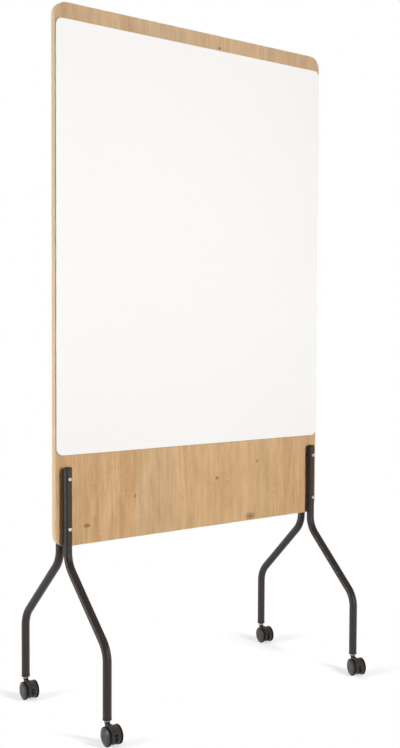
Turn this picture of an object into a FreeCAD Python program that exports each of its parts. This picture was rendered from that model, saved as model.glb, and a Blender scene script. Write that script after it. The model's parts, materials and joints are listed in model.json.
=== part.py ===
import FreeCAD, Part
import os
from math import cos, radians, sin, tan

# Mobile whiteboard: a wood-faced panel carrying a writing board, bolted between
# bent tube legs that stand on braked twin-wheel casters.
# Millimetres. The writing side faces -Y, +X is to its viewer's right, +Z is up.
# The floor is at Z = 0 and the origin is under the middle of the part's outline.

# Panel
panel_width = 915.0
panel_height = 1372.0
panel_thickness = 16.0
panel_corner_radius = 35.0
panel_bottom_height = 446.0
edge_band_thickness = 1.0
edge_band_rounding = 0.6

# Writing board on the panel's front
board_side_margin = 3.0
board_top_margin = 42.0
board_leg_gap = 29.5
board_corner_radius = 18.0
face_sheet_thickness = 0.7
backer_thickness = 2.0
tape_thickness = 0.5
tape_width = 25.0
tape_inset = 30.0
tape_count = 5

# Legs: one tube in front of the panel and one behind it, at each side
tube_diameter = 22.0
tube_wall = 1.5
leg_side_inset = 30.0
leg_overlap = 200.5
leg_stance = 202.0
leg_slope_angle = 45.0
leg_bend_radius = 70.0
leg_bend_drop = 11.0
cap_height = 5.0
cap_band = 0.6
cap_shank_length = 14.0

# Fasteners that clamp front tube, panel and rear tube together
bolts_per_leg = 2
bolt_top_inset = 24.5
bolt_bottom_inset = 48.0
bolt_diameter = 5.0
bolt_head_diameter = 9.5
bolt_head_height = 1.8
bolt_head_band = 0.6
hex_key_size = 3.0
hex_key_depth = 1.4
sleeve_diameter = 7.0
sleeve_length = 16.0
sleeve_engagement = 11.0
sleeve_bore_spare = 2.0
saddle_web = 0.8
saddle_width = 12.0
saddle_height = 14.0

# Casters
wheel_diameter = 48.0
wheel_width = 15.0
housing_width = 12.0
caster_trail = 22.0
tread_width = 4.8
tread_thickness = 2.0
tread_inset = 0.4
tread_rounding = 1.0
wheel_bevel_width = 7.0
wheel_bevel_height = 2.6
wheel_edge_rounding = 0.8
wheel_rim_thickness = 1.8
wheel_disc_thickness = 3.0
wheel_hub_radius = 6.5
axle_diameter = 6.0
axle_cover = 2.4
axle_groove_depth = 0.4
axle_groove_width = 1.0
axle_groove_inset = 1.0
hood_inset = 0.5
hood_wall = 2.2
hood_rounding = 1.5
hood_lip_angle = 20.0
fender_inset = 0.2
fender_wall = 1.4
fender_rounding = 0.7
fender_front_angle = -25.0
fender_rear_angle = 165.0
cheek_thickness = 2.0
ground_clearance = 6.5
boss_inset = 0.2
boss_rise = 7.5
boss_floor = 7.2
neck_inset = 0.8
collar_diameter = 14.5
collar_rise = 3.0
collar_gap = 0.6
collar_chamfer = 0.8

# Caster stem and its socket in the tube end
stem_diameter = 8.0
stem_pivot_diameter = 7.0
stem_flange_diameter = 11.0
stem_flange_thickness = 1.2
stem_neck_length = 2.8
stem_grip_length = 31.0
stem_chamfer = 1.0
stem_groove_depth = 0.6
stem_groove_width = 1.4
stem_groove_inset = 2.5
socket_flange_thickness = 5.0
socket_flange_overhang = 0.4
socket_flange_chamfer = 0.8
socket_spare = 5.0
grip_ring_height = 2.0
grip_ring_thickness = 1.5
grip_ring_slot = 2.0
grip_ring_inset = 6.0

# Brake lever under the hood's lip, measured forward and up from the axle
brake_pivot_inset = 10.0
brake_pivot_up = 4.5
brake_pin_diameter = 3.0
brake_hub_radius = 3.2
brake_tab_reach = 2.0
brake_tab_drop = 2.0
brake_tab_thickness = 3.0
brake_tab_flat = 0.3
brake_bar_forward = 3.0
brake_bar_inset = 4.2
brake_bar_diameter = 3.2
brake_bar_reach = 2.4
brake_lock_angle = 8.0

# Clearances
press_clearance = 0.02
plug_clearance = 0.05
running_clearance = 0.05
bolt_clearance = 0.2
swivel_gap = 0.2
snap_gap = 0.15
end_gap = 0.5
wheel_side_gap = 0.5
fender_gap = 0.6
lever_side_gap = 0.5
window_clearance = 0.5

# Direction in which each caster trails, in degrees from straight forward
caster_heading = {
    "left_front": -2.0,
    "left_rear": -3.0,
    "right_front": -17.0,
    "right_rear": -8.0,
}

# Sizes that follow from the driving dimensions
board_width = panel_width - 2 * board_side_margin
board_top_height = panel_bottom_height + panel_height - board_top_margin
leg_top_height = panel_bottom_height + leg_overlap
board_bottom_height = leg_top_height + cap_height + board_leg_gap
board_height = board_top_height - board_bottom_height
tube_radius = tube_diameter / 2
tube_bore_radius = tube_radius - tube_wall
leg_x = panel_width / 2 - leg_side_inset
leg_top_offset = panel_thickness / 2 + saddle_web + tube_radius
bolt_spacing = (leg_overlap - bolt_top_inset - bolt_bottom_inset) / (bolts_per_leg - 1)
wheel_radius = wheel_diameter / 2
caster_width = housing_width + 2 * (wheel_width + wheel_side_gap)
wheel_inner_x = housing_width / 2 + wheel_side_gap
slot_width = housing_width - 2 * cheek_thickness
hood_radius = wheel_radius - hood_inset
rim_radius = wheel_radius - tread_thickness
recess_radius = rim_radius - wheel_rim_thickness
fender_outer_radius = wheel_radius - fender_inset
fender_inner_radius = fender_outer_radius - fender_wall
drum_radius = fender_inner_radius - fender_gap
wheel_flat_radius = rim_radius - wheel_bevel_width
wheel_shoulder = wheel_width - wheel_bevel_height
tread_end = wheel_shoulder - tread_inset
drum_width = tread_end - tread_width
fender_span = 2 * (wheel_inner_x + drum_width - fender_gap)
axle_radius = axle_diameter / 2
axle_half_length = caster_width / 2 - axle_cover
boss_radius = housing_width / 2 - boss_inset
collar_height = wheel_diameter + collar_rise
boss_bottom_height = ground_clearance + boss_rise
stem_pivot_end = boss_bottom_height + boss_floor + end_gap
stem_flange_bottom = collar_height + swivel_gap
stem_flange_top = stem_flange_bottom + stem_flange_thickness
socket_bottom = stem_flange_top + stem_neck_length
tube_bottom = socket_bottom + socket_flange_thickness
stem_top = socket_bottom + stem_grip_length
socket_length = stem_grip_length + socket_spare
stem_radius = stem_diameter / 2
stem_pivot_radius = stem_pivot_diameter / 2
grip_ring_z = stem_top - grip_ring_inset
brake_pivot_forward = hood_radius - brake_pivot_inset
brake_bar_up = recess_radius - brake_bar_inset
front_reach = leg_stance + caster_trail + wheel_radius + brake_tab_reach
rear_reach = leg_stance + tube_radius
panel_y = (front_reach - rear_reach) / 2

FULL_TURN = 360.0
QUARTER_TURN = 90.0
HEXAGON_SIDES = 6
MOSTLY_ALONG = 0.5
X_AXIS = FreeCAD.Vector(1, 0, 0)
Y_AXIS = FreeCAD.Vector(0, 1, 0)
Z_AXIS = FreeCAD.Vector(0, 0, 1)
ORIGIN = FreeCAD.Vector(0, 0, 0)
SIDES = {"left": -1, "right": 1}
FACINGS = {"front": -1, "rear": 1}


def point(x, y, z):
    return FreeCAD.Vector(x, y, z)


def save(name, shape):
    """Write one sub-part, with the part's origin under the middle of its outline."""
    shape.translate(point(0, panel_y, 0))
    shape.exportStep(f"parts/{name}.step")
    print(f"{name}: {len(shape.Solids)} solid(s), {shape.Volume:.1f} mm3, valid {shape.isValid()}")


def turned(profile):
    """Solid of revolution about Z from (radius, height) points."""
    corners = [point(radius, 0, height) for radius, height in profile]
    face = Part.Face(Part.makePolygon(corners + corners[:1]))
    return face.revolve(ORIGIN, Z_AXIS, FULL_TURN)


def round_edges(solid, z, radius, rounding):
    """Round the circular edges of the given radius at height z."""
    chosen = []
    for edge in solid.Edges:
        circle = edge.Curve
        if isinstance(circle, Part.Circle) and edge.isClosed():
            if abs(circle.Radius - radius) < press_clearance and abs(circle.Center.z - z) < press_clearance:
                chosen.append(edge)
    return solid.makeFillet(rounding, chosen)


def edges_along(solid, axis):
    """The straight edges of a block that run along an axis."""
    return [e for e in solid.Edges if abs(e.tangentAt(e.FirstParameter).dot(axis)) > MOSTLY_ALONG]


def along_x(solid, direction):
    """Turn a solid built along +Z so that it points along +X or -X."""
    solid.rotate(ORIGIN, Y_AXIS, QUARTER_TURN * direction)
    return solid


def along_y(solid, direction):
    """Turn a solid built along +Z so that it points along +Y or -Y."""
    solid.rotate(ORIGIN, X_AXIS, -QUARTER_TURN * direction)
    return solid


def rod_x(forward, up, radius, length):
    """Rod along X, centred on X = 0, at a place measured forward and up."""
    return Part.makeCylinder(radius, length, point(-length / 2, -forward, up), X_AXIS)


def rod_y(x, y, z, radius, length):
    """Rod along +Y from the given point."""
    return Part.makeCylinder(radius, length, point(x, y, z), Y_AXIS)


def slab(width, height, thickness, corner_radius, front_y, bottom_z):
    """Upright slab with rounded corners."""
    block = Part.makeBox(width, thickness, height, point(-width / 2, front_y, bottom_z))
    return block.makeFillet(corner_radius, edges_along(block, Y_AXIS))


def bolt_heights():
    first = leg_top_height - bolt_top_inset
    return [first - row * bolt_spacing for row in range(bolts_per_leg)]


def bolt_places():
    """X and Z of each bolt axis."""
    return [(side * leg_x, z) for side in SIDES.values() for z in bolt_heights()]


def make_panel():
    """Panel core with its bolt holes, and the band round its edge."""
    front = -panel_thickness / 2
    size = (panel_width, panel_height, panel_thickness)
    blank = slab(*size, panel_corner_radius, front, panel_bottom_height)
    seams = edges_along(blank, Y_AXIS)
    rims = [e for e in blank.Edges if not any(e.isSame(seam) for seam in seams)]
    softened = blank.makeFillet(edge_band_rounding, rims)
    core = slab(
        panel_width - 2 * edge_band_thickness,
        panel_height - 2 * edge_band_thickness,
        panel_thickness,
        panel_corner_radius - edge_band_thickness,
        front,
        panel_bottom_height + edge_band_thickness,
    )
    band = softened.cut(core)
    for x, z in bolt_places():
        core = core.cut(rod_y(x, front, z, bolt_diameter / 2 + bolt_clearance, panel_thickness))
    return core, band


def make_writing_board():
    """Face sheet, backer and the tape strips that hold them on the panel."""
    tape_front = -panel_thickness / 2 - tape_thickness
    backer_front = tape_front - backer_thickness
    sheet_front = backer_front - face_sheet_thickness
    size = (board_width, board_height)
    sheet = slab(*size, face_sheet_thickness, board_corner_radius, sheet_front, board_bottom_height)
    backer = slab(*size, backer_thickness, board_corner_radius, backer_front, board_bottom_height)
    strip_length = board_height - 2 * tape_inset
    span = board_width - 2 * tape_inset - tape_width
    strips = []
    for strip in range(tape_count):
        left = -board_width / 2 + tape_inset + span * strip / (tape_count - 1)
        corner = point(left, tape_front, board_bottom_height + tape_inset)
        strips.append(Part.makeBox(tape_width, tape_thickness, strip_length, corner))
    return sheet, backer, Part.makeCompound(strips)


def leg_path(side, facing):
    """Centre line of a leg tube, from its top end down to its caster."""
    slope = radians(leg_slope_angle)
    tangent = leg_bend_radius * tan(slope / 2)
    upper_corner = panel_bottom_height - leg_bend_drop - tangent
    lower_corner = upper_corner - (leg_stance - leg_top_offset) / tan(slope)
    bulge = leg_bend_radius * (1 - cos(slope / 2))
    drop = leg_bend_radius * sin(slope / 2)

    def place(offset, height):
        return point(side * leg_x, facing * offset, height)

    top = place(leg_top_offset, leg_top_height)
    upper_start = place(leg_top_offset, upper_corner + tangent)
    upper_middle = place(leg_top_offset + bulge, upper_corner + tangent - drop)
    upper_end = place(leg_top_offset + tangent * sin(slope), upper_corner - tangent * cos(slope))
    lower_start = place(leg_stance - tangent * sin(slope), lower_corner + tangent * cos(slope))
    lower_middle = place(leg_stance - bulge, lower_corner - tangent + drop)
    lower_end = place(leg_stance, lower_corner - tangent)
    bottom = place(leg_stance, tube_bottom)
    return Part.Wire(
        [
            Part.makeLine(top, upper_start),
            Part.Arc(upper_start, upper_middle, upper_end).toShape(),
            Part.makeLine(upper_end, lower_start),
            Part.Arc(lower_start, lower_middle, lower_end).toShape(),
            Part.makeLine(lower_end, bottom),
        ]
    )


def swept(path, radius):
    """Round bar along a path that starts straight down."""
    start = path.OrderedVertexes[0].Point
    section = Part.Wire(Part.makeCircle(radius, start, Z_AXIS))
    return path.makePipeShell([section], True, False)


def make_leg(side, facing):
    """Bent tube with holes for its bolts; the rear tube's far wall takes the sleeve nuts."""
    path = leg_path(side, facing)
    tube = swept(path, tube_radius).cut(swept(path, tube_bore_radius))
    inner_face = facing * (leg_top_offset - tube_radius)
    middle = facing * leg_top_offset
    outer_face = facing * (leg_top_offset + tube_radius)
    far_radius = sleeve_diameter / 2 if facing > 0 else bolt_diameter / 2
    for z in bolt_heights():
        near_y = min(inner_face, middle)
        far_y = min(middle, outer_face)
        near = rod_y(side * leg_x, near_y, z, bolt_diameter / 2 + bolt_clearance, tube_radius)
        far = rod_y(side * leg_x, far_y, z, far_radius + bolt_clearance, tube_radius)
        tube = tube.cut(near.fuse(far))
    return tube


def make_cap(side, facing):
    """Domed plug in the top of a leg tube."""
    shank_radius = tube_bore_radius - plug_clearance
    plug = turned(
        [
            (0, -cap_shank_length),
            (shank_radius, -cap_shank_length),
            (shank_radius, 0),
            (tube_radius, 0),
            (tube_radius, cap_height),
            (0, cap_height),
        ]
    )
    plug = round_edges(plug, cap_height, tube_radius, cap_height - cap_band)
    plug.translate(point(side * leg_x, facing * leg_top_offset, leg_top_height))
    return plug


def domed_head():
    """Round bolt head with a hexagon socket; its seat plane is Z = 0 and it points up."""
    head = Part.makeCylinder(bolt_head_diameter / 2, bolt_head_height)
    rounding = bolt_head_height - bolt_head_band
    head = round_edges(head, bolt_head_height, bolt_head_diameter / 2, rounding)
    step = radians(FULL_TURN / HEXAGON_SIDES)
    corner_radius = hex_key_size / 2 / cos(step / 2)
    corners = []
    for corner in range(HEXAGON_SIDES):
        angle = step * corner
        corners.append(point(corner_radius * cos(angle), corner_radius * sin(angle), 0))
    outline = Part.makePolygon(corners + corners[:1])
    hexagon = Part.Face(outline).extrude(point(0, 0, hex_key_depth))
    hexagon.translate(point(0, 0, bolt_head_height - hex_key_depth))
    return head.cut(hexagon)


def seated_head(x, z, facing):
    """Head on a tube's outer side, its underside shaped to the round of the tube."""
    crown = facing * (leg_top_offset + tube_radius)
    skirt = Part.makeCylinder(bolt_head_diameter / 2, tube_radius, point(0, 0, -tube_radius))
    head = along_y(domed_head().fuse(skirt), facing)
    head.translate(point(x, crown, z))
    tube_body = Part.makeCylinder(
        tube_radius, bolt_head_diameter, point(x, facing * leg_top_offset, z - bolt_head_diameter / 2)
    )
    return head.cut(tube_body)


def make_fasteners():
    """Bolts from the front, sleeve nuts from behind and saddle washers beside the panel."""
    crown = leg_top_offset + tube_radius
    sleeve_mouth = crown - sleeve_length
    bolt_length = crown + sleeve_mouth + sleeve_engagement
    bore_depth = sleeve_engagement + sleeve_bore_spare
    bolts = []
    nuts = []
    saddles = []
    for x, z in bolt_places():
        shank = rod_y(x, -crown, z, bolt_diameter / 2, bolt_length)
        bolts.append(seated_head(x, z, FACINGS["front"]).fuse(shank).removeSplitter())
        sleeve = rod_y(x, sleeve_mouth, z, sleeve_diameter / 2, sleeve_length)
        bore = rod_y(x, sleeve_mouth, z, bolt_diameter / 2 + plug_clearance, bore_depth)
        nut = seated_head(x, z, FACINGS["rear"]).fuse(sleeve)
        nuts.append(nut.cut(bore).removeSplitter())
        for facing in FACINGS.values():
            saddles.append(make_saddle(x, z, facing))
    return Part.makeCompound(bolts), Part.makeCompound(nuts), Part.makeCompound(saddles)


def make_saddle(x, z, facing):
    """Washer that is flat on the panel and hollow on the tube."""
    depth = leg_top_offset - panel_thickness / 2
    inner = facing * panel_thickness / 2
    near_y = min(inner, inner + facing * depth)
    block = Part.makeBox(
        saddle_width, depth, saddle_height, point(x - saddle_width / 2, near_y, z - saddle_height / 2)
    )
    tube_body = Part.makeCylinder(
        tube_radius, saddle_height, point(x, facing * leg_top_offset, z - saddle_height / 2)
    )
    hole = rod_y(x, near_y, z, bolt_diameter / 2 + bolt_clearance, depth)
    return block.cut(tube_body).cut(hole)


def make_socket(side, facing):
    """Flanged plug in the tube's lower end, bored for the caster's stem."""
    shank_radius = tube_bore_radius - plug_clearance
    flange_radius = tube_radius + socket_flange_overhang
    bore_radius = stem_radius + plug_clearance
    ring_low = grip_ring_z - snap_gap - socket_bottom
    ring_high = grip_ring_z + grip_ring_height + snap_gap - socket_bottom
    groove_radius = stem_radius + grip_ring_thickness / 2 + snap_gap
    socket = turned(
        [
            (bore_radius, 0),
            (flange_radius - socket_flange_chamfer, 0),
            (flange_radius, socket_flange_chamfer),
            (flange_radius, socket_flange_thickness),
            (shank_radius, socket_flange_thickness),
            (shank_radius, socket_length),
            (bore_radius, socket_length),
            (bore_radius, ring_high),
            (groove_radius, ring_high),
            (groove_radius, ring_low),
            (bore_radius, ring_low),
        ]
    )
    socket.translate(point(side * leg_x, facing * leg_stance, socket_bottom))
    return socket


def make_stem():
    """Steel stem: grip end in the socket, flange on the collar, pivot end in the housing."""
    ring_seat = stem_radius - grip_ring_thickness / 2
    groove_low = stem_pivot_end + stem_groove_inset
    groove_high = groove_low + stem_groove_width
    groove_radius = stem_pivot_radius - stem_groove_depth
    return turned(
        [
            (0, stem_pivot_end),
            (stem_pivot_radius - stem_chamfer, stem_pivot_end),
            (stem_pivot_radius, stem_pivot_end + stem_chamfer),
            (stem_pivot_radius, groove_low),
            (groove_radius, groove_low),
            (groove_radius, groove_high),
            (stem_pivot_radius, groove_high),
            (stem_pivot_radius, stem_flange_bottom),
            (stem_flange_diameter / 2, stem_flange_bottom),
            (stem_flange_diameter / 2, stem_flange_top),
            (stem_radius, stem_flange_top),
            (stem_radius, grip_ring_z),
            (ring_seat, grip_ring_z),
            (ring_seat, grip_ring_z + grip_ring_height),
            (stem_radius, grip_ring_z + grip_ring_height),
            (stem_radius, stem_top - stem_chamfer),
            (stem_radius - stem_chamfer, stem_top),
            (0, stem_top),
        ]
    )


def stem_bore():
    """Cutter for the housing's stem bore, with the lip that snaps into the stem's groove."""
    bore_radius = stem_pivot_radius + running_clearance
    groove_low = stem_pivot_end + stem_groove_inset
    lip_low = groove_low + snap_gap
    lip_high = groove_low + stem_groove_width - snap_gap
    lip_radius = bore_radius - stem_groove_depth + running_clearance
    return turned(
        [
            (0, stem_pivot_end - end_gap),
            (bore_radius, stem_pivot_end - end_gap),
            (bore_radius, lip_low),
            (lip_radius, lip_low),
            (lip_radius, lip_high),
            (bore_radius, lip_high),
            (bore_radius, collar_height),
            (0, collar_height),
        ]
    )


def make_grip_ring():
    """Split spring ring in the stem's upper groove."""
    inner = stem_radius - grip_ring_thickness / 2 + plug_clearance
    outer = inner + grip_ring_thickness
    ring = turned(
        [
            (inner, grip_ring_z + press_clearance),
            (outer, grip_ring_z + press_clearance),
            (outer, grip_ring_z + grip_ring_height - press_clearance),
            (inner, grip_ring_z + grip_ring_height - press_clearance),
        ]
    )
    slot_corner = point(0, -grip_ring_slot / 2, grip_ring_z)
    slot = Part.makeBox(outer, grip_ring_slot, grip_ring_height, slot_corner)
    return ring.cut(slot)


def brake_bar_places():
    """Brake bar's place, forward and up from the axle, when free and when locked."""
    turn = radians(brake_lock_angle)
    forward = brake_bar_forward - brake_pivot_forward
    up = brake_bar_up - brake_pivot_up
    locked_forward = brake_pivot_forward + forward * cos(turn) + up * sin(turn)
    locked_up = brake_pivot_up - forward * sin(turn) + up * cos(turn)
    return (brake_bar_forward, brake_bar_up), (locked_forward, locked_up)


def make_fenders():
    """Shell over the inner halves of both wheels, open below."""
    disc = Part.makeCylinder(fender_outer_radius, fender_span, point(0, 0, -fender_span / 2))
    for z in (-fender_span / 2, fender_span / 2):
        disc = round_edges(disc, z, fender_outer_radius, fender_rounding)
    shell = along_x(disc, 1)
    shell.translate(point(0, -caster_trail, wheel_radius))
    reach = wheel_diameter
    front = radians(fender_front_angle)
    rear = radians(fender_rear_angle)
    corners = [
        point(-fender_span / 2, -caster_trail, wheel_radius),
        point(-fender_span / 2, -caster_trail - reach * cos(front), wheel_radius + reach * sin(front)),
        point(-fender_span / 2, -caster_trail - reach, -reach),
        point(-fender_span / 2, -caster_trail + reach, -reach),
        point(-fender_span / 2, -caster_trail - reach * cos(rear), wheel_radius + reach * sin(rear)),
    ]
    opening = Part.Face(Part.makePolygon(corners + corners[:1])).extrude(point(fender_span, 0, 0))
    inside = rod_x(caster_trail, wheel_radius, fender_inner_radius, fender_span)
    return shell.cut([inside, opening])


def make_housing():
    """Hood between the wheels, with fenders, stem boss, axle hub and the slot for the brake."""
    disc = Part.makeCylinder(hood_radius, housing_width, point(0, 0, -housing_width / 2))
    for z in (-housing_width / 2, housing_width / 2):
        disc = round_edges(disc, z, hood_radius, hood_rounding)
    hood = along_x(disc, 1)
    hood.translate(point(0, -caster_trail, wheel_radius))
    neck_top = wheel_radius + hood_radius
    neck_half = boss_radius - neck_inset
    neck_corner = point(-neck_half, -caster_trail, wheel_radius)
    neck = Part.makeBox(2 * neck_half, caster_trail, neck_top - wheel_radius, neck_corner)
    collar_bottom = wheel_diameter + collar_gap
    boss = turned(
        [
            (0, boss_bottom_height),
            (boss_radius, boss_bottom_height),
            (boss_radius, collar_bottom),
            (collar_diameter / 2, collar_bottom),
            (collar_diameter / 2, collar_height - collar_chamfer),
            (collar_diameter / 2 - collar_chamfer, collar_height),
            (0, collar_height),
        ]
    )
    boss.rotate(ORIGIN, Z_AXIS, QUARTER_TURN)

    cavity_radius = hood_radius - hood_wall
    cavity = rod_x(caster_trail, wheel_radius, cavity_radius, slot_width)
    mouth = brake_mouth()
    shell = hood.fuse([neck, make_fenders()]).cut(cavity.fuse(mouth))
    hub = rod_x(caster_trail, wheel_radius, wheel_hub_radius, slot_width + cheek_thickness)
    housing = shell.fuse([boss, hub])

    under = Part.makeBox(
        caster_width, caster_trail + wheel_diameter, ground_clearance,
        point(-caster_width / 2, -caster_trail - wheel_radius, 0),
    )
    axle_hole = rod_x(caster_trail, wheel_radius, axle_radius + press_clearance, housing_width)
    pin_hole = rod_x(
        caster_trail + brake_pivot_forward,
        wheel_radius + brake_pivot_up,
        brake_pin_diameter / 2 + press_clearance,
        housing_width,
    )
    return housing.cut([under, axle_hole, pin_hole, brake_window(), stem_bore()]).removeSplitter()


def brake_mouth():
    """Space below the hood's front lip, where the brake tab comes out."""
    reach = wheel_diameter
    lip = radians(hood_lip_angle)
    corners = [
        point(-slot_width / 2, -caster_trail, wheel_radius),
        point(-slot_width / 2, -caster_trail - reach * cos(lip), wheel_radius + reach * sin(lip)),
        point(-slot_width / 2, -caster_trail - reach, 0),
        point(-slot_width / 2, -caster_trail, 0),
    ]
    return Part.Face(Part.makePolygon(corners + corners[:1])).extrude(point(slot_width, 0, 0))


def brake_window():
    """Openings in the hood's cheeks for the travel of the brake bar."""
    radius = brake_bar_diameter / 2 + window_clearance
    ends = []
    for forward, up in brake_bar_places():
        ends.append((caster_trail + forward, wheel_radius + up))
    (forward_a, up_a), (forward_b, up_b) = ends
    run = point(0, -(forward_b - forward_a), up_b - up_a)
    side = run.cross(X_AXIS).normalize() * radius
    start = point(-housing_width / 2, -forward_a, up_a)
    corners = [start + side, start + side + run, start - side + run, start - side]
    middle = Part.Face(Part.makePolygon(corners + corners[:1])).extrude(point(housing_width, 0, 0))
    rounds = [rod_x(forward, up, radius, housing_width) for forward, up in ends]
    return middle.fuse(rounds)


def make_axle():
    """Steel pin with a snap groove for each wheel."""
    groove_end = axle_half_length - axle_groove_inset
    groove_start = groove_end - axle_groove_width
    groove_radius = axle_radius - axle_groove_depth
    profile = [(0, -axle_half_length), (axle_radius, -axle_half_length)]
    for low, high in ((-groove_end, -groove_start), (groove_start, groove_end)):
        profile += [(axle_radius, low), (groove_radius, low), (groove_radius, high), (axle_radius, high)]
    profile += [(axle_radius, axle_half_length), (0, axle_half_length)]
    axle = along_x(turned(profile), 1)
    axle.translate(point(0, -caster_trail, wheel_radius))
    return axle


def wheel_lip():
    """Heights, from the wheel's inner face, of the lip that snaps into the axle's groove."""
    groove_end = axle_half_length - axle_groove_inset - wheel_inner_x
    return groove_end - axle_groove_width + snap_gap, groove_end - snap_gap


def make_wheel(direction):
    """Wheel with a bevelled outer face, a tread seat, a hollow inner drum and a blind hub."""
    bore_radius = axle_radius + running_clearance
    bore_end = axle_half_length + end_gap - wheel_inner_x
    lip_radius = bore_radius - axle_groove_depth + running_clearance
    lip_low, lip_high = wheel_lip()
    disc = turned(
        [
            (0, bore_end),
            (bore_radius, bore_end),
            (bore_radius, lip_high),
            (lip_radius, lip_high),
            (lip_radius, lip_low),
            (bore_radius, lip_low),
            (bore_radius, 0),
            (wheel_hub_radius, 0),
            (wheel_hub_radius, wheel_width - wheel_disc_thickness),
            (recess_radius, wheel_shoulder - wheel_rim_thickness),
            (recess_radius, 0),
            (drum_radius, 0),
            (drum_radius, drum_width),
            (rim_radius, drum_width),
            (rim_radius, wheel_shoulder),
            (wheel_flat_radius, wheel_width),
            (0, wheel_width),
        ]
    )
    disc = round_edges(disc, wheel_width, wheel_flat_radius, wheel_edge_rounding)
    return place_wheel(disc, direction)


def make_tread(direction):
    """Soft ring round a wheel disc."""
    ring = turned(
        [
            (rim_radius + press_clearance, drum_width),
            (wheel_radius, drum_width),
            (wheel_radius, tread_end),
            (rim_radius + press_clearance, tread_end),
        ]
    )
    for z in (drum_width, tread_end):
        ring = round_edges(ring, z, wheel_radius, tread_rounding)
    return place_wheel(ring, direction)


def place_wheel(solid, direction):
    """Move a solid built on its inner face to one side of the caster."""
    solid = along_x(solid, direction)
    solid.translate(point(direction * wheel_inner_x, -caster_trail, wheel_radius))
    return solid


def make_brake_lever():
    """Lever with a foot tab in front and a bar that reaches into both wheels."""
    width = slot_width - 2 * lever_side_gap
    tip = wheel_radius + brake_tab_reach
    half = brake_tab_thickness / 2
    tab = Part.makeBox(
        width,
        tip - brake_pivot_forward,
        brake_tab_thickness,
        point(-width / 2, -caster_trail - tip, wheel_radius + brake_pivot_up - brake_tab_drop - half),
    )
    pivot_y = -caster_trail - brake_pivot_forward
    tip_edges = [e for e in edges_along(tab, X_AXIS) if e.BoundBox.YMax < pivot_y - half]
    tab = tab.makeFillet(half - brake_tab_flat / 2, tip_edges)
    pivot = (caster_trail + brake_pivot_forward, wheel_radius + brake_pivot_up)
    bar = (caster_trail + brake_bar_forward, wheel_radius + brake_bar_up)
    hub = rod_x(*pivot, brake_hub_radius, width)
    run = point(0, -(bar[0] - pivot[0]), bar[1] - pivot[1])
    side = run.cross(X_AXIS).normalize() * (brake_bar_diameter / 2)
    start = point(-width / 2, -pivot[0], pivot[1])
    corners = [start + side, start + side + run, start - side + run, start - side]
    arm = Part.Face(Part.makePolygon(corners + corners[:1])).extrude(point(width, 0, 0))
    ear_length = 2 * (wheel_inner_x + brake_bar_reach)
    ears = rod_x(*bar, brake_bar_diameter / 2, ear_length)
    lever = hub.fuse([tab, arm, ears])
    bore = rod_x(*pivot, brake_pin_diameter / 2 + running_clearance, width)
    return lever.cut(bore).removeSplitter()


def make_brake_pin():
    """Steel pin through the hood's cheeks that the brake lever turns on."""
    forward = caster_trail + brake_pivot_forward
    return rod_x(forward, wheel_radius + brake_pivot_up, brake_pin_diameter / 2, housing_width)


def place_caster(solid, corner, side, facing):
    """Turn a caster piece to its heading and set it under its leg."""
    solid.rotate(ORIGIN, Z_AXIS, caster_heading[corner])
    solid.translate(point(side * leg_x, facing * leg_stance, 0))
    return solid


def caster_pieces():
    """The pieces of one caster, with its stem axis on Z and its trail along -Y."""
    pieces = {
        "caster_stem": make_stem(),
        "caster_housing": make_housing(),
        "caster_axle": make_axle(),
        "brake_lever": make_brake_lever(),
        "brake_pin": make_brake_pin(),
    }
    for name, direction in SIDES.items():
        pieces[f"caster_{name}_wheel"] = make_wheel(direction)
        pieces[f"caster_{name}_tread"] = make_tread(direction)
    return pieces


def main():
    os.makedirs("parts", exist_ok=True)
    core, band = make_panel()
    save("panel_core", core)
    save("edge_band", band)
    sheet, backer, tape = make_writing_board()
    save("writing_surface", sheet)
    save("writing_board_backer", backer)
    save("mounting_tape", tape)
    bolts, nuts, saddles = make_fasteners()
    save("leg_bolts", bolts)
    save("leg_sleeve_nuts", nuts)
    save("leg_saddle_washers", saddles)
    grip_rings = []
    for side_name, side in SIDES.items():
        for facing_name, facing in FACINGS.items():
            corner = f"{side_name}_{facing_name}"
            save(f"{corner}_leg", make_leg(side, facing))
            save(f"{corner}_leg_cap", make_cap(side, facing))
            save(f"{corner}_caster_socket", make_socket(side, facing))
            grip_rings.append(place_caster(make_grip_ring(), corner, side, facing))
            for piece_name, piece in caster_pieces().items():
                save(f"{corner}_{piece_name}", place_caster(piece, corner, side, facing))
    save("stem_grip_rings", Part.makeCompound(grip_rings))


main()
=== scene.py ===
# %% [markdown]
# # A mobile whiteboard, dressed in Blender
# The part comes from a CAD program as a frame of rigid pieces: an oak-look panel, a white writing
# sheet, four bent tubes and four twin-wheel casters. Nothing here moves or reshapes those pieces.
# This lesson places the camera, gives each piece its finish, and then sets up floor and lamps.

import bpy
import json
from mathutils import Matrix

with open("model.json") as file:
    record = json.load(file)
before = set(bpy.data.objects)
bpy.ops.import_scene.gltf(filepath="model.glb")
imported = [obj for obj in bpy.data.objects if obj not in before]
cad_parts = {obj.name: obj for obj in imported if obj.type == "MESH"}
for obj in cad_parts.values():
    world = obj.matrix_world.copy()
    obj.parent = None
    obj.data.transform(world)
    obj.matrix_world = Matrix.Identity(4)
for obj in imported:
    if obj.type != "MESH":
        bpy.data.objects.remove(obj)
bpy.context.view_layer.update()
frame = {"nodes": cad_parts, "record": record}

# %% [markdown]
# ## Camera
# The photograph was taken from the left, about a metre above the floor. Its edges were measured,
# and a camera was fitted until the model's edges fell on them. It could be aimed by hand in the
# viewport, but a fitted place, three turns and a lens repeat exactly.

# %% Place the camera
import bpy
from math import radians
from mathutils import Euler, Matrix, Vector

camera_place = Vector((-1.8156, -2.3055, 1.0108))
camera_turn = radians(38.201)
camera_tilt = radians(-2.597)
camera_roll = radians(0.258)
camera_lens_mm = 50.914
upright = radians(90)

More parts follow.
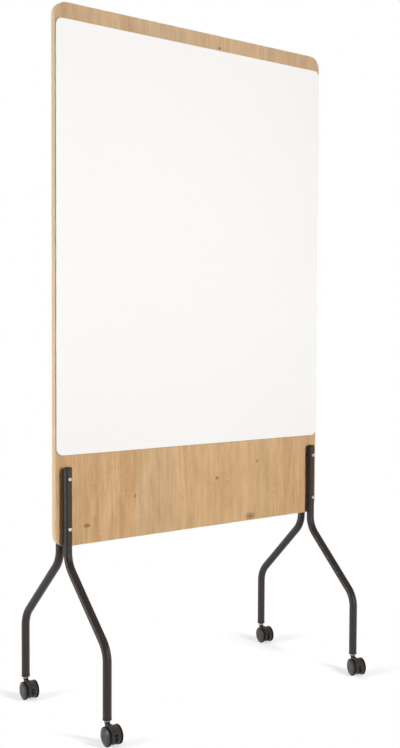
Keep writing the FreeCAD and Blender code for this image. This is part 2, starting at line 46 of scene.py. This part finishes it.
lens = bpy.data.cameras.new("studio_camera")
lens.lens = camera_lens_mm
camera = bpy.data.objects.new("studio_camera", lens)
aim = Euler((upright + camera_tilt, 0, -camera_turn)).to_matrix()
aim = aim @ Matrix.Rotation(camera_roll, 3, "Z")
camera.matrix_world = Matrix.Translation(camera_place) @ aim.to_4x4()
scene = bpy.context.scene
scene.collection.objects.link(camera)
scene.camera = camera
scene.view_settings.view_transform = "Standard"
print("camera at", tuple(camera_place), "lens", camera_lens_mm, "mm")

# %% [markdown]
# ## Nodes from code
# A finish is a material: a Principled shader with texture nodes in front of it. Nodes could be
# wired by hand in the shader editor. In code, a few helpers keep each finish short. The first adds
# a node and sets or links its inputs; the other two do sums with numbers and with vectors.

# %% Helpers for nodes
def put(tree, kind, inputs=None, **settings):
    """Add a shader node; an input is linked if a socket is given, and set otherwise."""
    made = tree.nodes.new("ShaderNode" + kind)
    for name, value in settings.items():
        setattr(made, name, value)
    for name, value in (inputs or {}).items():
        if isinstance(value, bpy.types.NodeSocket):
            tree.links.new(value, made.inputs[name])
        else:
            made.inputs[name].default_value = value
    return made


def calculate(tree, operation, first, second=0.0):
    """The result of a Math node."""
    return put(tree, "Math", {0: first, 1: second}, operation=operation).outputs["Value"]


def calculate_vector(tree, operation, first, second=(0, 0, 0), result="Vector"):
    """The result of a Vector Math node; a length or a product comes out as its Value."""
    made = put(tree, "VectorMath", {0: first, 1: second}, operation=operation)
    return made.outputs[result]


print("helpers ready for nodes")

# %% [markdown]
# ## Textures from code
# No real surface is even, so each finish here varies in colour, in gloss and in height. A picture
# could be wrapped on for that, but it blurs when the camera comes near. Noise is worked out for
# every point, so it stays sharp. One helper makes it, and another maps its values to a new span.

# %% Helpers for textures
whole_span = (0, 1)


def spread(tree, value, to_span, from_span=whole_span):
    """Map a value from one span to another, without leaving it."""
    names = ("From Min", "From Max", "To Min", "To Max")
    limits = dict(zip(names, (*from_span, *to_span)))
    return put(tree, "MapRange", {"Value": value, **limits}).outputs["Result"]


def noise(tree, place, scale, detail=2.0, roughness=0.5, stretch=None):
    """A noise texture's value, from about 0 to 1; a small stretch factor draws an axis out."""
    if stretch:
        place = calculate_vector(tree, "MULTIPLY", place, stretch)
    inputs = {"Vector": place, "Scale": scale, "Detail": detail, "Roughness": roughness}
    return put(tree, "TexNoise", inputs).outputs["Fac"]


print("helpers ready for textures")

# %% [markdown]
# ## Oak-look board
# The panel is a board with an oak decor: upright leaves a few centimetres wide, each a little
# lighter, pinker or yellower than its neighbour, with fine upright streaks, soft clouds and a few
# small knots. A picture of wood could be wrapped on, but it would repeat and blur. Layers of noise,
# stretched along the height, give streaks of every width at any distance. A one-dimensional Voronoi
# texture gives each leaf its own random tone, and its seed was picked so that the joint between a
# pink and a yellow leaf falls about where the photograph has one.

# %% Oak: leaves and streaks
oak_leaf_width = 0.070
oak_leaf_randomness = 0.9
oak_seed = 2.08
oak_wander = (-0.016, 0.016)
oak_wander_noise = {"scale": 3.2, "detail": 3, "stretch": (2.5, 1, 1)}
oak_layers = {
    "broad": {"scale": 55, "detail": 4, "roughness": 0.6, "stretch": (1, 1, 0.05)},
    "clouds": {"scale": 38, "detail": 6, "roughness": 0.7, "stretch": (1, 1, 0.25)},
    "fine": {"scale": 230, "detail": 5, "roughness": 0.7, "stretch": (1, 1, 0.05)},
    "pores": {"scale": 900, "detail": 2, "stretch": (1, 1, 0.10)},
    "flecks": {"scale": 95, "detail": 3, "stretch": (0.35, 1, 1)},
}


def oak_sway(tree, place):
    """The place, pushed a little sideways so that no streak is quite straight."""
    aside = spread(tree, noise(tree, place, **oak_wander_noise), oak_wander)
    push = put(tree, "CombineXYZ", {"X": aside}).outputs["Vector"]
    return calculate_vector(tree, "ADD", place, push)


def oak_leaf(tree, across):
    """Two random numbers for each upright leaf of the decor: one for tone, one for hue."""
    inputs = {"W": across, "Scale": 1 / oak_leaf_width, "Randomness": oak_leaf_randomness}
    leaf = put(tree, "TexVoronoi", inputs, voronoi_dimensions="1D", feature="F1")
    numbers = put(tree, "SeparateColor", {"Color": leaf.outputs["Color"]})
    return numbers.outputs["Red"], numbers.outputs["Green"]


def oak_streaks(tree, place):
    """The layers of noise by name: streaks, clouds, short pores and pale level flecks."""
    return {name: noise(tree, place, **layer) for name, layer in oak_layers.items()}


print("oak leaves:", oak_leaf_width, "m wide, layers:", ", ".join(oak_layers))

# %% [markdown]
# ## Knots
# Six small knots show below and above the white sheet. Each could be a separate decal, but a decal
# floats on the surface. Here each knot is a distance field: how far a point is from the knot's
# middle, squeezed in width or height. Noise added to the distance frays its outline.

# %% Oak: knots
knot_brown = (0.150, 0.070, 0.028, 1)
knot_strength = 0.75
knot_fraying = (-0.7, 0.7)
knot_fraying_noise = {"scale": 260, "detail": 3}
knot_outline = (0.3, 1.4)
# Each knot's X and Z, half its width and half its height, in metres
knots = (
    (-0.363, 0.493, 0.010, 0.005),
    (-0.212, 0.556, 0.003, 0.007),
    (0.070, 0.580, 0.005, 0.005),
    (0.195, 0.458, 0.016, 0.009),
    (0.221, 0.617, 0.004, 0.004),
    (0.071, 1.784, 0.006, 0.004),
)


def smallest(tree, values):
    """The smallest of several values."""
    least = values[0]
    for value in values[1:]:
        least = calculate(tree, "MINIMUM", least, value)
    return least


def oak_knots(tree, place):
    """1 in the middle of a knot, 0 away from all of them."""
    distances = []
    for x, z, half_width, half_height in knots:
        offset = calculate_vector(tree, "SUBTRACT", place, (x, 0, z))
        squeeze = (1 / half_width, 0, 1 / half_height)
        squeezed = calculate_vector(tree, "MULTIPLY", offset, squeeze)
        distances.append(calculate_vector(tree, "LENGTH", squeezed, result="Value"))
    frayed = spread(tree, noise(tree, place, **knot_fraying_noise), knot_fraying)
    distance = calculate(tree, "ADD", smallest(tree, distances), frayed)
    return spread(tree, distance, (1, 0), knot_outline)


print("knots:", len(knots))

# %% [markdown]
# ## Streak colours
# A decor printer lays one tone over another: streaks first, then dark pores and pale flecks. Each
# print could be painted as a picture, but here the same noise that makes a layer also decides where
# its colour goes on, so that pores look dark where they are deep.

# %% Oak: streak colours
oak_light = (0.71, 0.462, 0.238, 1)
oak_dark = (0.50, 0.290, 0.130, 1)
cloud_share = 0.6
fine_share = 0.4
streak_span = (0.375, 0.625)
pore_strength = 0.35
fleck_span = (0.60, 0.78)
fleck_strength = 0.6
# A Mix node has sockets for several kinds of value: two inputs and an output for each kind
mix_sockets = {"RGBA": (6, 7, 2), "VECTOR": (4, 5, 1)}


def blend(tree, factor, first, second, kind="RGBA"):
    """A mixture of two colours, or of two vectors."""
    first_input, second_input, output = mix_sockets[kind]
    inputs = {0: factor, first_input: first, second_input: second}
    return put(tree, "Mix", inputs, data_type=kind).outputs[output]


def weighted(tree, first, second, share):
    """Two values added up: a share of the second and the rest of the first."""
    rest = calculate(tree, "MULTIPLY", first, 1 - share)
    return calculate(tree, "ADD", rest, calculate(tree, "MULTIPLY", second, share))


def oak_streak_colour(tree, layers, pores):
    """Light and dark streaks with dark pores and pale flecks."""
    broad = weighted(tree, layers["broad"], layers["clouds"], cloud_share)
    streak = weighted(tree, broad, layers["fine"], fine_share)
    colour = blend(tree, spread(tree, streak, whole_span, streak_span), oak_light, oak_dark)
    colour = blend(tree, calculate(tree, "MULTIPLY", pores, pore_strength), colour, oak_dark)
    flecks = spread(tree, layers["flecks"], whole_span, fleck_span)
    return blend(tree, calculate(tree, "MULTIPLY", flecks, fleck_strength), colour, oak_light)


print("oak streaks from", oak_light[:3], "to", oak_dark[:3])

# %% [markdown]
# ## Leaf colours
# The leaves of a veneer come from different parts of the log, so each is a little lighter or
# darker, pinker or yellower than the next. Every leaf could have its own colour in a list. Turning
# one shared colour by the leaf's two random numbers does the same for any number of leaves.

# %% Oak: leaf colours
leaf_hue = (0.4965, 0.5025)
leaf_saturation = (1.01, 0.93)
leaf_tone = (0.945, 1.055)
leaf_hue_tone = (0.98, 1.025)


def oak_leaf_colour(tree, colour, tone, hue):
    """The colour, shifted by the leaf's own tone and hue."""
    tones = spread(tree, tone, leaf_tone), spread(tree, hue, leaf_hue_tone)
    shifted = put(tree, "HueSaturation", {
        "Hue": spread(tree, hue, leaf_hue),
        "Saturation": spread(tree, hue, leaf_saturation),
        "Value": calculate(tree, "MULTIPLY", *tones),
        "Color": colour,
    })
    return shifted.outputs["Color"]


print("oak leaves differ in tone by", leaf_tone)

# %% [markdown]
# ## Start and complete a finish
# All the finishes begin and end alike: a new material whose textures are tied to the object, and at
# the end a colour, a roughness and a relief. The relief is a bump, which only turns the light. Real
# displacement would change the CAD meshes, and pores and pebbling are far too fine for it.

# %% Start and complete a finish
finishes = {}


def start_finish(name):
    """A new material, its node tree, its Principled shader and the place on the object."""
    finish = bpy.data.materials.new(name)
    finish.use_nodes = True
    tree = finish.node_tree
    place = put(tree, "TexCoord").outputs["Object"]
    return finish, tree, tree.nodes["Principled BSDF"], place


def wire_up(tree, shader, colour, roughness, height, depth):
    """Link colour, roughness and relief to the shader; the relief's depth is in metres."""
    bump = put(tree, "Bump", {"Height": height, "Distance": depth, "Strength": 1.0})
    tree.links.new(colour, shader.inputs["Base Color"])
    tree.links.new(roughness, shader.inputs["Roughness"])
    tree.links.new(bump.outputs["Normal"], shader.inputs["Normal"])


print("ready for finishes")

# %% [markdown]
# ## The oak face, layer by layer
# The layers now go on top of each other, and the knots last. The photograph's wood is a little
# greyer near the top, where its lamps reached less, so a grey is mixed in with the height: this is
# painted shade. It could be done with a weaker lamp, but that would darken the white sheet too.

# %% Oak: the whole face
painted_shade_grey = (0.43, 0.425, 0.395, 1)
painted_shade_heights = (0.7, 1.8)
painted_shade_share = (0, 0.20)
pore_span = (0.58, 0.72)
oak_shine = 0.2
oak_roughness = (0.42, 0.58)
oak_depth = 0.00012


def oak_face():
    """The panel's finish, from all the oak layers."""
    finish, tree, shader, place = start_finish("oak_board")
    shader.inputs["Specular IOR Level"].default_value = oak_shine
    swayed = oak_sway(tree, place)
    axes = put(tree, "SeparateXYZ", {"Vector": swayed})
    layers = oak_streaks(tree, swayed)
    pores = spread(tree, layers["pores"], whole_span, pore_span)
    tone, hue = oak_leaf(tree, calculate(tree, "ADD", axes.outputs["X"], oak_seed))
    colour = oak_leaf_colour(tree, oak_streak_colour(tree, layers, pores), tone, hue)
    # painted shade: the face is mixed more and more with grey towards the top
    grey = spread(tree, axes.outputs["Z"], painted_shade_share, painted_shade_heights)
    colour = blend(tree, grey, colour, painted_shade_grey)
    knot = calculate(tree, "MULTIPLY", oak_knots(tree, place), knot_strength)
    colour = blend(tree, knot, colour, knot_brown)
    roughness = spread(tree, layers["fine"], oak_roughness)
    height = calculate(tree, "SUBTRACT", layers["fine"], pores)
    wire_up(tree, shader, colour, roughness, height, oak_depth)
    return finish


finishes["oak_board"] = oak_face()
print("finish: oak_board")

# %% [markdown]
# ## Oak edge strip
# A thin strip is glued round the panel's edge. It is paler than the face, and its streaks run along
# the strip: upright at the sides, level at the top and bottom. Two finishes could share the work,
# but the surface normal tells which way the strip runs, so one finish serves the whole ring.

# %% Oak edge
edge_light = (0.80, 0.63, 0.40, 1)
edge_dark = (0.70, 0.52, 0.30, 1)
edge_noise = {"scale": 520, "detail": 5, "roughness": 0.65}
edge_streak_span = (0.35, 0.68)
edge_upright = (1, 1, 0.02)
edge_level = (0.02, 1, 1)
edge_level_normal = 0.7
edge_roughness = (0.40, 0.55)
edge_depth = 0.0001


def oak_edge():
    """The strip's finish, with streaks along it on every side."""
    finish, tree, shader, place = start_finish("oak_edge")
    normal = put(tree, "NewGeometry").outputs["Normal"]
    upward = put(tree, "SeparateXYZ", {"Vector": normal}).outputs["Z"]
    up_or_down = calculate(tree, "ABSOLUTE", upward)
    level = calculate(tree, "GREATER_THAN", up_or_down, edge_level_normal)
    at_sides = calculate_vector(tree, "MULTIPLY", place, edge_upright)
    at_ends = calculate_vector(tree, "MULTIPLY", place, edge_level)
    lengthwise = blend(tree, level, at_sides, at_ends, kind="VECTOR")
    streak = noise(tree, lengthwise, **edge_noise)
    colour = blend(tree, spread(tree, streak, whole_span, edge_streak_span), edge_light, edge_dark)
    wire_up(tree, shader, colour, spread(tree, streak, edge_roughness), streak, edge_depth)
    return finish


finishes["oak_edge"] = oak_edge()
print("finish: oak_edge")

# %% [markdown]
# ## White enamel
# The writing sheet is enamelled steel: almost white, smooth and a little glossy. Perfect white with
# perfect gloss would be easy, but it looks like a hole in the picture. A faint waviness and slight
# wiping marks in the gloss make it a surface. Noise values crowd round 0.5, and most of them lie
# between 0.3 and 0.7, so that span is stretched over the whole range of roughness.

# %% White enamel
enamel_white = (0.925, 0.912, 0.890, 1)
enamel_shade = (0.912, 0.900, 0.880, 1)
enamel_clouds = {"scale": 2.2, "detail": 3}
enamel_wiping = {"scale": 26, "detail": 5, "roughness": 0.7, "stretch": (0.35, 1, 1)}
enamel_waviness = {"scale": 380, "detail": 1}
enamel_roughness = (0.30, 0.42)
enamel_depth = 0.00001
noise_middle = (0.3, 0.7)


def white_enamel():
    """The writing sheet: nearly white, with uneven gloss."""
    finish, tree, shader, place = start_finish("white_enamel")
    colour = blend(tree, noise(tree, place, **enamel_clouds), enamel_white, enamel_shade)
    wiped = noise(tree, place, **enamel_wiping)
    roughness = spread(tree, wiped, enamel_roughness, noise_middle)
    waves = noise(tree, place, **enamel_waviness)
    wire_up(tree, shader, colour, roughness, waves, enamel_depth)
    return finish


finishes["white_enamel"] = white_enamel()
print("finish: white_enamel")

# %% [markdown]
# ## Backer and tape
# Behind the sheet lie a thin white-faced board and strips of foam tape. Only their edges can be
# seen, so a flat colour might do. A simple texture costs little more: fibres in the board, and
# round cells in the foam, which a Voronoi texture makes.

# %% Backer and tape
backer_light = (0.90, 0.89, 0.86, 1)
backer_dark = (0.80, 0.78, 0.73, 1)
backer_fibres = {"scale": 300, "detail": 5, "roughness": 0.7, "stretch": (1, 6, 1)}
backer_roughness = (0.5, 0.75)
backer_depth = 0.00006
foam_light = (0.78, 0.77, 0.74, 1)
foam_dark = (0.62, 0.61, 0.58, 1)
foam_cell_scale = 2600
foam_roughness = (0.7, 0.9)
foam_depth = 0.0001


def white_backer():
    """A white board with fibres."""
    finish, tree, shader, place = start_finish("white_backer")
    fibres = noise(tree, place, **backer_fibres)
    colour = blend(tree, fibres, backer_light, backer_dark)
    wire_up(tree, shader, colour, spread(tree, fibres, backer_roughness), fibres, backer_depth)
    return finish


def foam_tape():
    """Foam with round cells."""
    finish, tree, shader, place = start_finish("foam_tape")
    foam = put(tree, "TexVoronoi", {"Vector": place, "Scale": foam_cell_scale})
    cells = foam.outputs["Distance"]
    colour = blend(tree, cells, foam_light, foam_dark)
    wire_up(tree, shader, colour, spread(tree, cells, foam_roughness), cells, foam_depth)
    return finish


finishes["white_backer"] = white_backer()
finishes["foam_tape"] = foam_tape()
print("finishes: white_backer, foam_tape")

# %% [markdown]
# ## Powder coat
# The tubes are steel with a baked powder coat: a warm near-black with a satin shine. A plain dark
# shader would look like paint on glass. Melted powder never lies quite flat, so the finish has the
# fine pebbling that is called orange peel, and its gloss varies a little along the tube.

# %% Powder coat
coat_dark = (0.027, 0.0212, 0.0188, 1)
coat_light = (0.038, 0.0290, 0.0255, 1)
coat_shine = 0.35
coat_patches = {"scale": 18, "detail": 4}
coat_peel = {"scale": 900, "detail": 2}
coat_roughness = (0.34, 0.46)
coat_depth = 0.00005


def powder_coat():
    """A satin near-black with fine pebbling."""
    finish, tree, shader, place = start_finish("black_powder_coat")
    shader.inputs["Specular IOR Level"].default_value = coat_shine
    patch = noise(tree, place, **coat_patches)
    colour = blend(tree, patch, coat_dark, coat_light)
    roughness = spread(tree, patch, coat_roughness, noise_middle)
    wire_up(tree, shader, colour, roughness, noise(tree, place, **coat_peel), coat_depth)
    return finish


finishes["black_powder_coat"] = powder_coat()
print("finish: black_powder_coat")

# %% [markdown]
# ## Plastics and rubber
# Caps, sockets and caster housings are moulded plastic with a fine spark-eroded grain. The wheels
# are smoother and shinier, which draws the bright crescent on their faces, and their treads are
# soft and matt. Three finishes could be written out, but all follow one recipe: two dark colours,
# a grain with its depth, a span of roughness and a shine.

# %% Plastics and rubber
moulding_patches = {"scale": 55, "detail": 5, "roughness": 0.6}
mouldings = {
    "black_plastic": {
        "dark": (0.031, 0.025, 0.022, 1), "light": (0.050, 0.041, 0.036, 1),
        "grain_scale": 1800, "depth": 0.00005, "roughness": (0.36, 0.50), "shine": 0.28,
    },
    "wheel_plastic": {
        "dark": (0.014, 0.012, 0.011, 1), "light": (0.024, 0.021, 0.019, 1),
        "grain_scale": 2600, "depth": 0.00002, "roughness": (0.24, 0.34), "shine": 0.52,
    },
    "tread_rubber": {
        "dark": (0.007, 0.006, 0.006, 1), "light": (0.016, 0.014, 0.013, 1),
        "grain_scale": 1400, "depth": 0.00006, "roughness": (0.55, 0.75), "shine": 0.15,
    },
}


def dark_moulding(name, dark, light, grain_scale, depth, roughness, shine):
    """A moulded finish: colour patches, a fine grain and uneven gloss."""
    finish, tree, shader, place = start_finish(name)
    shader.inputs["Specular IOR Level"].default_value = shine
    patch = noise(tree, place, **moulding_patches)
    colour = blend(tree, spread(tree, patch, whole_span, noise_middle), dark, light)
    uneven = spread(tree, patch, roughness, noise_middle)
    wire_up(tree, shader, colour, uneven, noise(tree, place, grain_scale), depth)
    return finish


for name, values in mouldings.items():
    finishes[name] = dark_moulding(name, **values)
print("finishes:", ", ".join(mouldings))

# %% [markdown]
# ## Zinc-plated steel
# Bolts, nuts, stems, axles and pins are steel with bright zinc. A mirror-like metal would be the
# short way, but plating is a thin crystal skin, so its colour drifts between cool and warm grey and
# its gloss is uneven. Metallic stays at 1 all over.

# %% Zinc
zinc_warm = (0.82, 0.81, 0.78, 1)
zinc_cool = (0.70, 0.72, 0.74, 1)
zinc_drift = {"scale": 120, "detail": 4}
zinc_crystals = {"scale": 1600, "detail": 2}
zinc_roughness = (0.22, 0.38)
zinc_depth = 0.00002


def zinc_steel():
    """Bright metal with drifting colour and small crystals."""
    finish, tree, shader, place = start_finish("zinc_steel")
    shader.inputs["Metallic"].default_value = 1.0
    colour = blend(tree, noise(tree, place, **zinc_drift), zinc_warm, zinc_cool)
    crystals = noise(tree, place, **zinc_crystals)
    roughness = spread(tree, crystals, zinc_roughness, noise_middle)
    wire_up(tree, shader, colour, roughness, crystals, zinc_depth)
    return finish


finishes["zinc_steel"] = zinc_steel()
print("finish: zinc_steel")

# %% [markdown]
# ## Put the finishes on
# The part's record says which finish each CAD piece takes. They could be assigned one by one in the
# viewport, but the record never forgets a piece. The pieces keep their meshes: only the material
# slot of each object changes.

# %% Dress the CAD pieces
for subpart in frame["record"]["subparts"]:
    piece = frame["nodes"][subpart["node"]]
    finish = finishes[subpart["material_slot"]]
    if not piece.material_slots:
        piece.data.materials.append(finish)
    for slot in piece.material_slots:
        slot.material = finish

# %% [markdown]
# ## Background
# The photograph's background is plain white. A white world would light the part evenly from all
# sides and leave it flat. So the world is white only where the camera looks straight at it; as a
# lamp it is dark in front, bright behind the panel and half bright overhead.

# %% World
white = (1, 1, 1, 1)
room_light = 0.05
backdrop_light = 0.9
backdrop_span = (0.0, 0.8)
ceiling_light = 0.45
ceiling_span = (0.6, 1.0)


def rays(tree, first_kind, second_kind):
    """1 for rays of these two kinds, 0 for all others."""
    path = put(tree, "LightPath").outputs
    return calculate(tree, "MAXIMUM", path[f"Is {first_kind} Ray"], path[f"Is {second_kind} Ray"])


world = bpy.data.worlds.new("studio")
scene.world = world
world.use_nodes = True
sky = world.node_tree
sky.nodes.clear()
direction = put(sky, "TexCoord").outputs["Generated"]
axes = put(sky, "SeparateXYZ", {"Vector": direction})
behind = spread(sky, axes.outputs["Y"], (room_light, backdrop_light), backdrop_span)
above = spread(sky, axes.outputs["Z"], (room_light, ceiling_light), ceiling_span)
around = calculate(sky, "MAXIMUM", behind, above)
glow = put(sky, "Background", {"Color": white, "Strength": around}).outputs[0]
paper = put(sky, "Background", {"Color": white, "Strength": 1.0}).outputs[0]
looked_at = rays(sky, "Camera", "Transmission")
mixed = put(sky, "MixShader", {0: looked_at, 1: glow, 2: paper}).outputs[0]
put(sky, "OutputWorld", {"Surface": mixed})
print("world:", room_light, "in front,", backdrop_light, "behind,", ceiling_light, "above")

# %% [markdown]
# ## Floor sheet
# The floor is one large square, a hair below the wheels so that the two never fight for the same
# place. A plane could be added from the menu; a mesh from four corners gives the same without any
# selection. It belongs to the studio and not to the part.

# %% Floor sheet
floor_half = 9.0
floor_drop = 0.0004
square = ((-1, -1), (1, -1), (1, 1), (-1, 1))

sheet = bpy.data.meshes.new("studio_floor")
points = [(x * floor_half, y * floor_half, -floor_drop) for x, y in square]
sheet.from_pydata(points, [], [(0, 1, 2, 3)])
floor = bpy.data.objects.new("studio_floor", sheet)
scene.collection.objects.link(floor)
print("floor:", 2 * floor_half, "m wide")

# %% [markdown]
# ## Where shadows may fall
# On the photograph's floor, shadow shows only as short streaks at the casters. Their places could
# be masked with a painted picture. A distance from the nearest caster needs none, and squeezing it
# across the streaks makes each zone longer than wide.

# %% Distance from the casters
caster_x = 0.428
caster_y = 0.20
corners = [(x, y, 0) for x in (-caster_x, caster_x) for y in (-caster_y, caster_y)]
casters = [Vector(corner) for corner in corners]
streak_squeeze = 1.5
streak_along = Vector((0.93, -0.37, 0))
streak_across = Vector((0.37, 0.93, 0)) * streak_squeeze


def far_from_casters(tree, place):
    """The distance from the nearest caster, squeezed across the shadow streaks."""
    along = calculate_vector(tree, "DOT_PRODUCT", place, streak_along, result="Value")
    across = calculate_vector(tree, "DOT_PRODUCT", place, streak_across, result="Value")
    squeezed = put(tree, "CombineXYZ", {"X": along, "Y": across}).outputs["Vector"]
    distances = []
    for caster in casters:
        middle = (caster @ streak_along, caster @ streak_across, 0)
        distances.append(calculate_vector(tree, "DISTANCE", squeezed, middle, result="Value"))
    return smallest(tree, distances)


print("casters on the floor:", len(casters))

# %% [markdown]
# ## Floor finish
# The photograph has a white floor that runs into the background, with two faint shadow streaks at
# each caster and no shadow anywhere else. A shadow catcher is meant for a render that is laid over
# another picture, so here the floor makes its own white: it is matt with a little glow near the
# casters, where it takes their shadows, and turns into plain white further away. Rays that aren't
# seen meet a plain grey floor, so that the white one doesn't light the tubes from below.

# %% Floor finish
shadow_span = (0.10, 0.21)
floor_dark = (0.53, 0.53, 0.53, 1)
floor_light = (0.56, 0.56, 0.56, 1)
floor_grain = {"scale": 40, "detail": 4}
floor_glow = 0.52
floor_unseen = (0.45, 0.45, 0.45, 1)


def floor_paper():
    """White paper that shows shadows near the casters only."""
    finish, tree, shader, place = start_finish("floor_paper")
    tree.nodes.remove(shader)
    grey = blend(tree, noise(tree, place, **floor_grain), floor_dark, floor_light)
    matt = put(tree, "BsdfDiffuse", {"Color": grey}).outputs[0]
    lit = put(tree, "Emission", {"Color": white, "Strength": floor_glow}).outputs[0]
    near = put(tree, "AddShader", {0: matt, 1: lit}).outputs[0]
    plain = put(tree, "Emission", {"Color": white, "Strength": 1.0}).outputs[0]
    away = spread(tree, far_from_casters(tree, place), whole_span, shadow_span)
    seen = put(tree, "MixShader", {0: away, 1: near, 2: plain}).outputs[0]
    unseen = put(tree, "BsdfDiffuse", {"Color": floor_unseen}).outputs[0]
    looked_at = rays(tree, "Camera", "Glossy")
    mixed = put(tree, "MixShader", {0: looked_at, 1: unseen, 2: seen}).outputs[0]
    tree.links.new(mixed, tree.nodes["Material Output"].inputs["Surface"])
    return finish


sheet.materials.append(floor_paper())
print("floor finish: shadows up to", shadow_span[1], "m from a caster")

# %% [markdown]
# ## A soft lamp
# Studio lamps stand behind large diffusers. A point lamp would give hard-edged shadows, so each
# lamp is a rectangle. Near lamps fade quickly over a tall board; a Light Falloff node keeps their
# light equally strong at any distance, as if they stood far away.

# %% A soft lamp
def area_lamp(name, place, target, width, height, power):
    """A rectangular lamp at a place, aimed at a target, equally strong at any distance."""
    lamp = bpy.data.lights.new(name, "AREA")
    lamp.shape = "RECTANGLE"
    lamp.size = width
    lamp.size_y = height
    lamp.energy = power
    lamp.use_nodes = True
    even = put(lamp.node_tree, "LightFalloff", {"Strength": 1.0}).outputs["Constant"]
    lamp.node_tree.links.new(even, lamp.node_tree.nodes["Emission"].inputs["Strength"])
    holder = bpy.data.objects.new(name, lamp)
    holder.location = place
    towards = Vector(target) - Vector(place)
    holder.rotation_euler = towards.to_track_quat("-Z", "Y").to_euler()
    scene.collection.objects.link(holder)
    return holder


print("helper ready for lamps")

# %% [markdown]
# ## Lamps
# The shadow strip beside each front tube tells where the main lamp stood: in front of the panel and
# a little to its right. A large soft lamp on the left brightens the panel's left edge. Neither of
# them makes highlights, because the main lamp's mirror image would stand as a bright patch on the
# white sheet. Three more lamps make only highlights, on tubes, wheels and bolts. One lamp could do
# all of it in a real studio, but separate ones can each be set without changing the rest.

# %% Lamps
shadow_lamps = {
    "key_lamp": {
        "place": (0.63, -2.2, 1.5), "target": (-0.6, 0, 1.6),
        "width": 0.4, "height": 1.8, "power": 9.95,
    },
    "left_lamp": {
        "place": (-3.0, 0.65, 1.2), "target": (-0.4, 0.1, 0.9),
        "width": 1.0, "height": 1.8, "power": 6.5,
    },
}
gloss_lamps = {
    "left_gloss": {"place": (-2.6, 0.9, 0.4), "power": 2.8},
    "right_gloss": {"place": (2.8, -1.2, 0.9), "power": 1.3},
    "front_gloss": {"place": (-0.4, -3.2, 0.9), "power": 3.4},
}
gloss_shape = {"target": (0, 0, 0.4), "width": 0.5, "height": 1.0}

for name, values in shadow_lamps.items():
    area_lamp(name, **values).visible_glossy = False
for name, values in gloss_lamps.items():
    area_lamp(name, **values, **gloss_shape).visible_diffuse = False
print("lamps:", ", ".join([*shadow_lamps, *gloss_lamps]))

# %% [markdown]
# ## Last cell
# It only imports the json module.

# %% Last cell
import json
